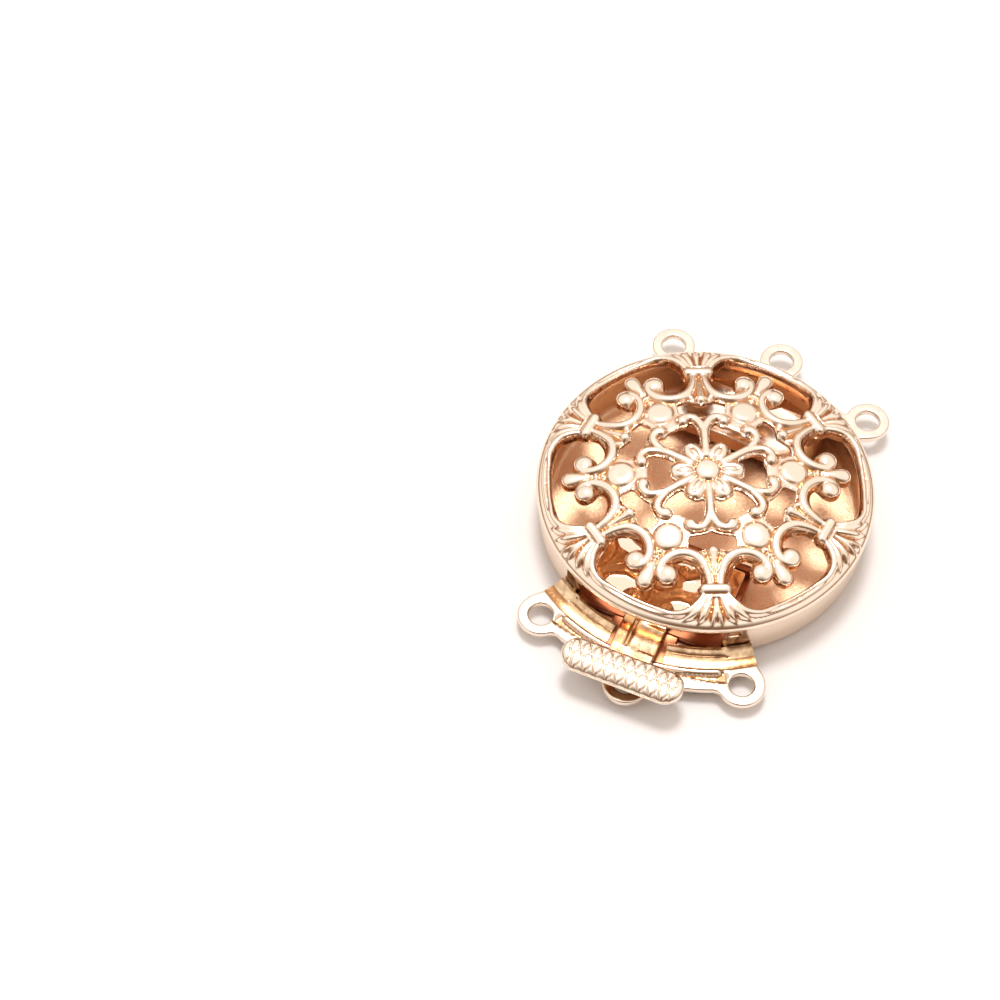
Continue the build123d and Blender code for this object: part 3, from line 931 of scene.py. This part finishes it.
def cove_part(start, end, middle):
    """Inner part of the plate towards the case, between two angles."""
    angles = np.linspace(start, end, int((end - start) / 0.8))
    radii = np.concatenate([np.linspace(plate_inner_radius + 0.05, crease_radius + 0.03, 9),
                            np.linspace(crease_radius - 0.01, cove_back, 14)])
    points = []
    for angle in angles:
        top = cove_level(radii, abs(angle - middle))
        rows = list(zip(radii, top))
        rows += [(cove_back - 0.06, top[-1] - 0.06), (cove_back - 0.06, lower_leaf_bottom - 0.02),
                 (plate_inner_radius, plate_bottom + 0.02), (plate_inner_radius + 0.3, plate_bottom + 0.02)]
        points += [(*polar(radius, angle), level) for radius, level in rows]
    return np.array(points), closed_rings(len(angles), len(points) // len(angles))


def build_plate(materials):
    """Arc plate with three loops, raised bead, cove and the lower leaf with its fold."""
    middle = -90 + plate_turn
    loops = [polar(plate_loop_reach, middle - plate_loop_spread), polar(plate_middle_reach, middle),
             polar(plate_loop_reach, middle + plate_loop_spread)]

    def region(points):
        whole = sector_field(points, plate_inner_radius, plate_outer_radius, middle, plate_loop_spread)
        root = sector_field(points, plate_inner_radius, plate_loop_reach - 0.3, middle, plate_half_angle)
        return with_loops(np.minimum(whole, root), points, loops, plate_loop_radius, plate_inner_radius)

    def turned_by(points):
        """Radius and angle from the plate's middle."""
        return np.hypot(*points.T), np.abs(np.degrees(np.arctan2(points[:, 1], points[:, 0])) - middle)

    def from_bead(points):
        """Distance from the bead's centre line."""
        radius, swing = turned_by(points)
        beyond = np.radians(np.maximum(swing - bead_half_angle, 0)) * radius
        return np.hypot(radius - bead_radius, beyond)

    def hollow(points):
        """Wedge between the bead and the flange, wider towards the loops."""
        radius, swing = turned_by(points)
        widen = np.clip((swing - hollow_start) / hollow_growth, 0, 1)
        outer = bead_radius + bead_half + hollow_width * widen
        inside = (radius > bead_radius) & (widen > 0)
        within = np.clip((outer - radius) / 0.08, 0, 1) * np.clip((hollow_end - swing) / 1.5, 0, 1)
        return within * inside * np.clip((from_bead(points) - bead_half) / 0.04, 0, 1)

    def bead_foot_shade(points):
        """Thin line of painted shade along the bead's outline."""
        return np.clip(1 - np.abs(from_bead(points) - bead_half - 0.03) / 0.06, 0, 1)

    def raised(points):
        ridge = round_ridge(from_bead(points), bead_half, bead_height)
        return np.maximum(ridge, 0) - hollow_depth * hollow(points)

    sheet = rounded_sheet(region, (-12.2, -19.6), (12.2, -8), sheet_step, plate_bottom,
                          plate_bottom + plate_sheet, sheet_rounding, raised)
    cut = half_angle(neck_cut_width / 2, plate_inner_radius)
    right_cove = cove_part(-90 + cut, middle + plate_half_angle, middle)
    left_cove = cove_part(middle - plate_half_angle, -90 - cut, middle)
    low, top = lower_leaf_bottom, upper_leaf_bottom + leaf_sheet
    front, lap = fold_front, fold_front - fold_lap
    fold = (top - low) / 2
    side = [(lower_leaf_end, low)]
    side += arc_points((front - fold, low + fold), fold, 270, 450, 20)
    side += [(lap, top), (lap, top - leaf_sheet)]
    side += arc_points((front - fold, low + fold), fold - leaf_sheet, 90, -90, 16)
    side += [(lower_leaf_end, low + leaf_sheet)]
    leaf = swept(np.array(side), lower_leaf_width / 2)
    root = -plate_inner_radius - 0.2
    bridge = [(root, plate_bottom + 0.1), (lower_leaf_end + 0.3, low + 0.05),
              (lower_leaf_end + 0.3, low + 0.3), (root, plate_bottom + 0.4)]
    under = swept(np.array(bridge), neck_cut_width / 2 + 0.3)
    # The lower leaf and the bridge under the neck take the painted shadow of the slot
    points, faces, groups = joined([(*sheet, 0), (*right_cove, 1), (*left_cove, 1), (*leaf, 2), (*under, 2)])
    centres = np.array([points[list(face)].mean(axis=0) for face in faces])
    # Painted reflections: the strip's shoulder takes the mottled reflection colour
    shoulder = (np.array(groups) == 1) & (np.hypot(*centres[:, :2].T) < crease_radius + 0.12)
    # Painted shadow: the middle loop's top under the pad takes the cove's shade colour
    shade_radius = plate_loop_radius - loop_shade_width
    shade = (np.array(groups) == 0) & (circle_field(centres[:, :2], loops[1], shade_radius) < 0)
    groups = np.where(shoulder, 3, np.where(shade & (centres[:, 2] > plate_bottom + 0.1), 1, groups)).tolist()
    _, swing = turned_by(points[:, :2])
    # Painted shade: darker towards the cove's ends, in the hollow beside the bead and along the bead's foot
    painted_shade = np.clip((swing - end_angle) / 3, 0, 1)
    painted_shade[: len(sheet[0])] = np.maximum(hollow(sheet[0][:, :2]), bead_foot_shade(sheet[0][:, :2]))
    return mesh_object("tongue_plate_look", points, faces, materials, groups, crease=45, merge=0.001,
                       painted_shade=painted_shade)


def build_leaf(materials):
    """Spring leaf with round shoulders and a ribbed neck."""
    leaf_top = upper_leaf_bottom + leaf_sheet

    def region(points):
        middle = np.array([0, leaf_root - 5.0])
        wide = np.maximum(box_field(points, middle, upper_leaf_width / 2, 5.0, 0.25),
                          np.hypot(*points.T) - leaf_reach)
        wide = np.maximum(wide, points[:, 1] - leaf_root)
        neck = box_field(points, np.array([0, (leaf_root + leaf_low[1]) / 2]), neck_width / 2,
                         (leaf_root - leaf_low[1]) / 2)
        return blend(wide, neck, 0.5)

    def raised(points):
        along = np.clip((-points[:, 1] - neck_face_start) / 0.2, 0, 1)
        along = along * np.clip((neck_face_end + points[:, 1]) / 0.2, 0, 1)
        rib = np.exp(-(((points[:, 0] - neck_rib_place) / neck_rib_half) ** 4))
        slope = np.clip((points[:, 0] - neck_slope_start) / neck_slope_width, 0, 1)
        return along * (neck_rib_height * rib - neck_slope_drop * slope)

    def finish_and_shade(face):
        """Mirror leaf, the neck's lighter panel in painted shade and its panel of painted mottled
        reflections, and the shoulder edges in painted shadow.
        """
        x, y, z = points[list(face)].mean(axis=0)
        if y > neck_start:
            # Painted shadow on the shoulders' rounded rim and on the lower faces near the neck
            edge = math.hypot(x, y) > leaf_reach - 0.1 or (z < leaf_top - leaf_rounding and y < -9)
            return 3 if edge else 0
        # Painted mottled reflections on the neck's side panel and its end; painted shade on the rest of the
        # neck
        mottled = neck_slope_start < x < neck_mottle_end and y < -13.0
        return 2 if mottled or y < -15.3 else 1

    points, faces = rounded_sheet(region, (-6, -17.3), (6, -5), leaf_step, upper_leaf_bottom, leaf_top,
                                  leaf_rounding, raised)
    groups = [finish_and_shade(face) for face in faces]
    return mesh_object("spring_leaf_look", points, faces, materials, groups, crease=45, merge=0.001)


def build_pad(materials):
    """Thumb pad: crowned bar with long diamond cells, each with an oval pillow."""
    middle = (pad_low + pad_high)[:2] / 2
    half_length, half_depth = (pad_high - pad_low)[:2] / 2
    count = int(half_length * 2 / knurl_pitch) - 1

    def region(points):
        return box_field(points, middle, half_length, half_depth, half_depth - 0.02)

    def cells(points):
        """Lattice groove, oval groove and pillow of the diamond knurl, from none to one."""
        across = (points[:, 0] - middle[0]) / knurl_pitch
        out = (points[:, 1] - middle[1] - knurl_shift) / (2 * knurl_row)
        first, second = across + out, across - out
        groove = np.minimum(np.abs(first - np.round(first)), np.abs(second - np.round(second)))
        a, b = first - np.floor(first) - 0.5, second - np.floor(second) - 0.5
        swell = np.hypot(1.15 * (a + b), 0.85 * (a - b))
        edge = np.clip(-region(points) / 0.35, 0, 1)
        within = edge * np.clip((count / 2 + 0.2 - np.abs(across)) / 0.3, 0, 1)
        lattice = np.exp(-((groove / knurl_line) ** 2))
        ring = np.exp(-(((swell - 0.62) / knurl_line) ** 2))
        return within * lattice, within * ring, within * np.clip((0.57 - swell) / 0.1, 0, 1)

    def knurl(points):
        """Height of the knurled and crowned top over the plain one."""
        lattice, ring, pillow = cells(points)
        fall = pad_crown * ((points[:, 1] - middle[1]) / half_depth) ** 2
        return pillow_height * pillow - lattice_depth * lattice - ring_depth * ring - knurl_sink - fall

    low, high = pad_low - 0.2, pad_high + 0.2
    points, faces = rounded_sheet(region, low[:2], high[:2], pad_step, pad_low[2], pad_high[2], pad_rounding,
                                  knurl)
    upper = np.arange(len(points)) < len(points) // 2
    lattice, ring, _ = cells(points[:, :2])
    # Painted shade in the knurl's lattice grooves and oval rings, on the top face only
    painted_shade = np.where(upper, np.clip(0.75 * lattice + 0.4 * ring, 0, 1), 0)
    return mesh_object("thumb_pad_look", points, faces, materials, crease=50, merge=0.001, painted_shade=painted_shade)


# Finishes, and darker copies of them that paint shade, shadow and reflections


def node_material(name):
    material = bpy.data.materials.new(name)
    material.use_nodes = True
    nodes, links = material.node_tree.nodes, material.node_tree.links
    return material, nodes, links, nodes["Principled BSDF"]


def noise(nodes, links, place, scale, detail=3.0):
    texture = nodes.new("ShaderNodeTexNoise")
    texture.inputs["Scale"].default_value = scale
    texture.inputs["Detail"].default_value = detail
    links.new(place, texture.inputs["Vector"])
    return texture.outputs["Fac"]


def spread(nodes, links, value, low, high, start=0.3, stop=0.7):
    ramp = nodes.new("ShaderNodeMapRange")
    ramp.inputs["From Min"].default_value = start
    ramp.inputs["From Max"].default_value = stop
    ramp.inputs["To Min"].default_value = low
    ramp.inputs["To Max"].default_value = high
    links.new(value, ramp.inputs["Value"])
    return ramp.outputs["Result"]


def blend_colours(nodes, links, factor, low, high):
    """Blend of two colours. Each is three numbers or another node's output."""
    blender = nodes.new("ShaderNodeMix")
    blender.data_type = "RGBA"
    links.new(factor, blender.inputs[0])
    for socket, colour in zip(blender.inputs[6:8], (low, high)):
        if isinstance(colour, tuple):
            socket.default_value = (*colour, 1)
        else:
            links.new(colour, socket)
    return blender.outputs[2]


def plated_metal(name, low, high, rough, grain=0.0, grain_scale=9000.0, groove=None, polish_scale=1400.0,
                 drift_scale=260.0, sheen=1.0, grain_depth=0.02):
    """Rose gold plating: slow colour drift, uneven polish, fine grain, and painted shade in grooves and
    creases, mixed in by a mesh attribute.
    """
    material, nodes, links, shader = node_material(name)
    place = nodes.new("ShaderNodeTexCoord").outputs["Object"]
    drift = spread(nodes, links, noise(nodes, links, place, drift_scale), 0.0, 1.0)
    colour = blend_colours(nodes, links, drift, low, high)
    # Painted shade: the groove colour is mixed in where the mesh attribute asks for it
    if groove:
        painted_shade = nodes.new("ShaderNodeAttribute")
        painted_shade.attribute_name = "painted_shade"
        colour = blend_colours(nodes, links, painted_shade.outputs["Fac"], colour, groove)
    links.new(colour, shader.inputs["Base Color"])
    polish = noise(nodes, links, place, polish_scale, 4.0)
    links.new(spread(nodes, links, polish, rough * 0.75, rough * 1.3), shader.inputs["Roughness"])
    shader.inputs["Metallic"].default_value = sheen
    if grain:
        bump = nodes.new("ShaderNodeBump")
        bump.inputs["Strength"].default_value = grain
        bump.inputs["Distance"].default_value = grain_depth * MM
        links.new(noise(nodes, links, place, grain_scale, 2.0), bump.inputs["Height"])
        links.new(bump.outputs["Normal"], shader.inputs["Normal"])
    return material


# Cover: its groove colour paints shade in the relief's creases and down the openings' walls
cover_metal = plated_metal("cover_rose_gold", (0.88, 0.73, 0.59), (0.92, 0.78, 0.66), 0.17,
                           groove=(0.60, 0.27, 0.11))
# Underside and lining: the same plating painted deeper orange, as shade and warm reflections under the cover
underside_shade_metal = plated_metal("cover_underside_shaded", (0.95, 0.55, 0.31), (1.0, 0.64, 0.39), 0.3, 0.3)
# Plate: the groove colour paints shade in the hollow and along the bead's foot
plate_metal = plated_metal("plate_rose_gold", (0.88, 0.75, 0.63), (0.91, 0.80, 0.69), 0.16,
                           groove=(0.58, 0.36, 0.20))
# Cove: the plate's plating painted darker orange, as shade and the case wall's reflection; it also paints the
# shadow on the middle loop
cove_shade_metal = plated_metal("plate_cove_shaded", (0.80, 0.48, 0.24), (0.88, 0.60, 0.35), 0.14,
                          grain=0.35, grain_scale=2200.0, groove=(0.36, 0.18, 0.08), drift_scale=900.0)
bar_metal = plated_metal("bar_rose_gold", (0.88, 0.75, 0.63), (0.91, 0.80, 0.69), 0.18)
# Painted shade: a dark orange copy of the bar's plating, for the platform strip in the cover's shadow
fold_shade_metal = plated_metal("bar_fold_shaded", (0.62, 0.30, 0.15), (0.74, 0.40, 0.22), 0.3)
# Pad: the groove colour paints shade in the knurl
pad_metal = plated_metal("pad_rose_gold", (0.88, 0.76, 0.65), (0.91, 0.81, 0.71), 0.22,
                         groove=(0.60, 0.36, 0.20))
leaf_metal = plated_metal("leaf_rose_gold", (0.94, 0.74, 0.56), (0.98, 0.82, 0.66), 0.04)
# Painted shade: the neck's plating darkened to golden orange, for the shade it lies in and the case it
# reflects
neck_shade_metal = plated_metal("neck_rose_gold_shaded", (0.66, 0.34, 0.14), (0.84, 0.53, 0.29), 0.14)
# Painted reflections: blotchy drift from dark brown to pale gold, for the neck's side panel and the plate's
# shoulder
mottled_reflection_metal = plated_metal("neck_shade", (0.42, 0.26, 0.15), (0.92, 0.66, 0.42), 0.18, drift_scale=1500.0)
# Painted shadow: near black-red for parts deep in the slot and the spring leaf's shoulder edges
shadow_metal = plated_metal("rose_gold_in_shadow", (0.34, 0.10, 0.045), (0.44, 0.17, 0.08), 0.34)
case_metal = plated_metal("case_rose_gold", (0.86, 0.69, 0.54), (0.90, 0.74, 0.60), 0.2)
# Inside of the case: matte, fine-grained plating, painted a deeper and brighter orange for the warm light
# bouncing inside the cup
inside_matte_and_bounce_metal = plated_metal("case_inside_matte_and_bounce", (1.0, 0.58, 0.32), (1.0, 0.79, 0.56), 0.4, 0.9, 8000.0,
                           polish_scale=7000.0, drift_scale=6500.0, sheen=0.92, grain_depth=0.05)
lip_metal = plated_metal("case_lip", (0.92, 0.60, 0.32), (0.95, 0.68, 0.40), 0.14)
# Painted shade: the lugs' plating darkened to grey-brown, for their faces in the cover rim's shadow
lug_shade_metal = plated_metal("lug_rose_gold_shaded", (0.46, 0.31, 0.20), (0.60, 0.42, 0.28), 0.25)


def place_piece(piece, node, body):
    """Puts a look in a CAD node's place, on the node's own body."""
    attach(piece, body)
    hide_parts(node)


place_piece(build_cover([cover_metal, underside_shade_metal]), "filigree_cover", "case")
place_piece(build_case([case_metal, inside_matte_and_bounce_metal, lip_metal]), "case_cup", "case")
place_piece(build_lug(1, [lug_shade_metal]), "catch_lug_right", "case")
place_piece(build_lug(-1, [lug_shade_metal]), "catch_lug_left", "case")
place_piece(build_bar([bar_metal, fold_shade_metal]), "loop_bar", "case")
place_piece(build_plate([plate_metal, cove_shade_metal, shadow_metal, mottled_reflection_metal]), "tongue_plate", "tongue")
place_piece(build_leaf([leaf_metal, neck_shade_metal, mottled_reflection_metal, shadow_metal]), "spring_leaf", "leaf")
place_piece(build_pad([pad_metal]), "thumb_pad", "leaf")

# Floor, light and camera

camera_azimuth, camera_elevation, camera_roll = 23.5, 55.98, -0.20
camera_distance, camera_off_right, camera_off_up = 187.1, 16.37, 1.98
camera_target_level = 5.9
camera_lens = 85.03
light_strength = 1.18
key_place, key_size, key_power = (-0.06, 0.13, 0.51), 0.16, 1.6
floor_half = 2.0
floor_tint = (0.82, 0.79, 0.78)
horizon_tint = (0.24, 0.13, 0.07)
middle_tint = (0.66, 0.53, 0.42)
top_tint = (1.0, 0.95, 0.9)
opening_tint = (0.20, 0.12, 0.07)
opening_rise = 20.0
opening_reach = (0.64, 0.96)


def build_floor():
    """Pale paper floor under the clasp."""
    mesh = bpy.data.meshes.new("floor")
    corners = [(-1, -1), (1, -1), (1, 1), (-1, 1)]
    mesh.from_pydata([(floor_half * x, floor_half * y, 0) for x, y in corners], [], [(0, 1, 2, 3)])
    floor = bpy.data.objects.new("floor", mesh)
    bpy.context.collection.objects.link(floor)
    material, _, _, shader = node_material("floor_paper")
    shader.inputs["Base Color"].default_value = (*floor_tint, 1)
    shader.inputs["Roughness"].default_value = 0.9
    mesh.materials.append(material)


def area_light(name, place, size, power):
    """Round white light that faces the middle of the clasp's base."""
    light = bpy.data.lights.new(name, "AREA")
    light.shape = "DISK"
    light.size = size
    light.energy = power
    lamp = bpy.data.objects.new(name, light)
    lamp.location = place
    lamp.rotation_euler = (-Vector(place)).to_track_quat("-Z", "Y").to_euler()
    bpy.context.collection.objects.link(lamp)


def build_world():
    """White light tent, dimmer and warmer towards the horizon, darkest on the camera's side."""
    world = bpy.data.worlds.new("studio")
    world.use_nodes = True
    nodes, links = world.node_tree.nodes, world.node_tree.links
    background = nodes["Background"]
    way = nodes.new("ShaderNodeTexCoord").outputs["Generated"]
    parts = nodes.new("ShaderNodeSeparateXYZ")
    links.new(way, parts.inputs[0])
    ramp = nodes.new("ShaderNodeValToRGB")
    ramp.color_ramp.interpolation = "EASE"
    stops = [(0.0, horizon_tint), (0.12, horizon_tint), (0.32, middle_tint), (0.52, top_tint),
             (1.0, top_tint)]
    while len(ramp.color_ramp.elements) < len(stops):
        ramp.color_ramp.elements.new(0.5)
    for element, (place, tint) in zip(ramp.color_ramp.elements, stops):
        element.position = place
        element.color = (*tint, 1)
    links.new(parts.outputs["Z"], ramp.inputs["Fac"])
    facing = nodes.new("ShaderNodeVectorMath")
    facing.operation = "DOT_PRODUCT"
    swing, rise = math.radians(camera_azimuth), math.radians(opening_rise)
    facing.inputs[1].default_value = (math.sin(swing) * math.cos(rise), -math.cos(swing) * math.cos(rise),
                                      math.sin(rise))
    links.new(way, facing.inputs[0])
    nearness = spread(nodes, links, facing.outputs["Value"], 0.0, 1.0, *opening_reach)
    tint = blend_colours(nodes, links, nearness, ramp.outputs["Color"], opening_tint)
    links.new(tint, background.inputs["Color"])
    background.inputs["Strength"].default_value = light_strength
    bpy.context.scene.world = world


def build_camera():
    """Camera at the photograph's angle, distance and framing."""
    turns = (camera_azimuth, camera_elevation, camera_roll)
    azimuth, elevation, roll = (math.radians(turn) for turn in turns)
    back = Vector((math.sin(azimuth) * math.cos(elevation), -math.cos(azimuth) * math.cos(elevation),
                   math.sin(elevation)))
    right = Vector((math.cos(azimuth), math.sin(azimuth), 0))
    up = back.cross(right)
    across = right * math.cos(roll) - up * math.sin(roll)
    upward = right * math.sin(roll) + up * math.cos(roll)
    data = bpy.data.cameras.new("camera")
    data.sensor_width = 36
    data.lens = camera_lens
    data.clip_start = 0.01
    camera = bpy.data.objects.new("camera", data)
    place = Vector((0, 0, camera_target_level * MM)) + camera_distance * MM * back
    place -= camera_off_right * MM * right + camera_off_up * MM * up
    matrix = camera.matrix_world.copy()
    for row in range(3):
        matrix[row][0], matrix[row][1], matrix[row][2] = across[row], upward[row], back[row]
        matrix[row][3] = place[row]
    camera.matrix_world = matrix
    bpy.context.collection.objects.link(camera)
    bpy.context.scene.camera = camera


build_floor()
build_world()
area_light("key", key_place, key_size, key_power)
build_camera()
bpy.context.scene.view_settings.view_transform = "Standard"
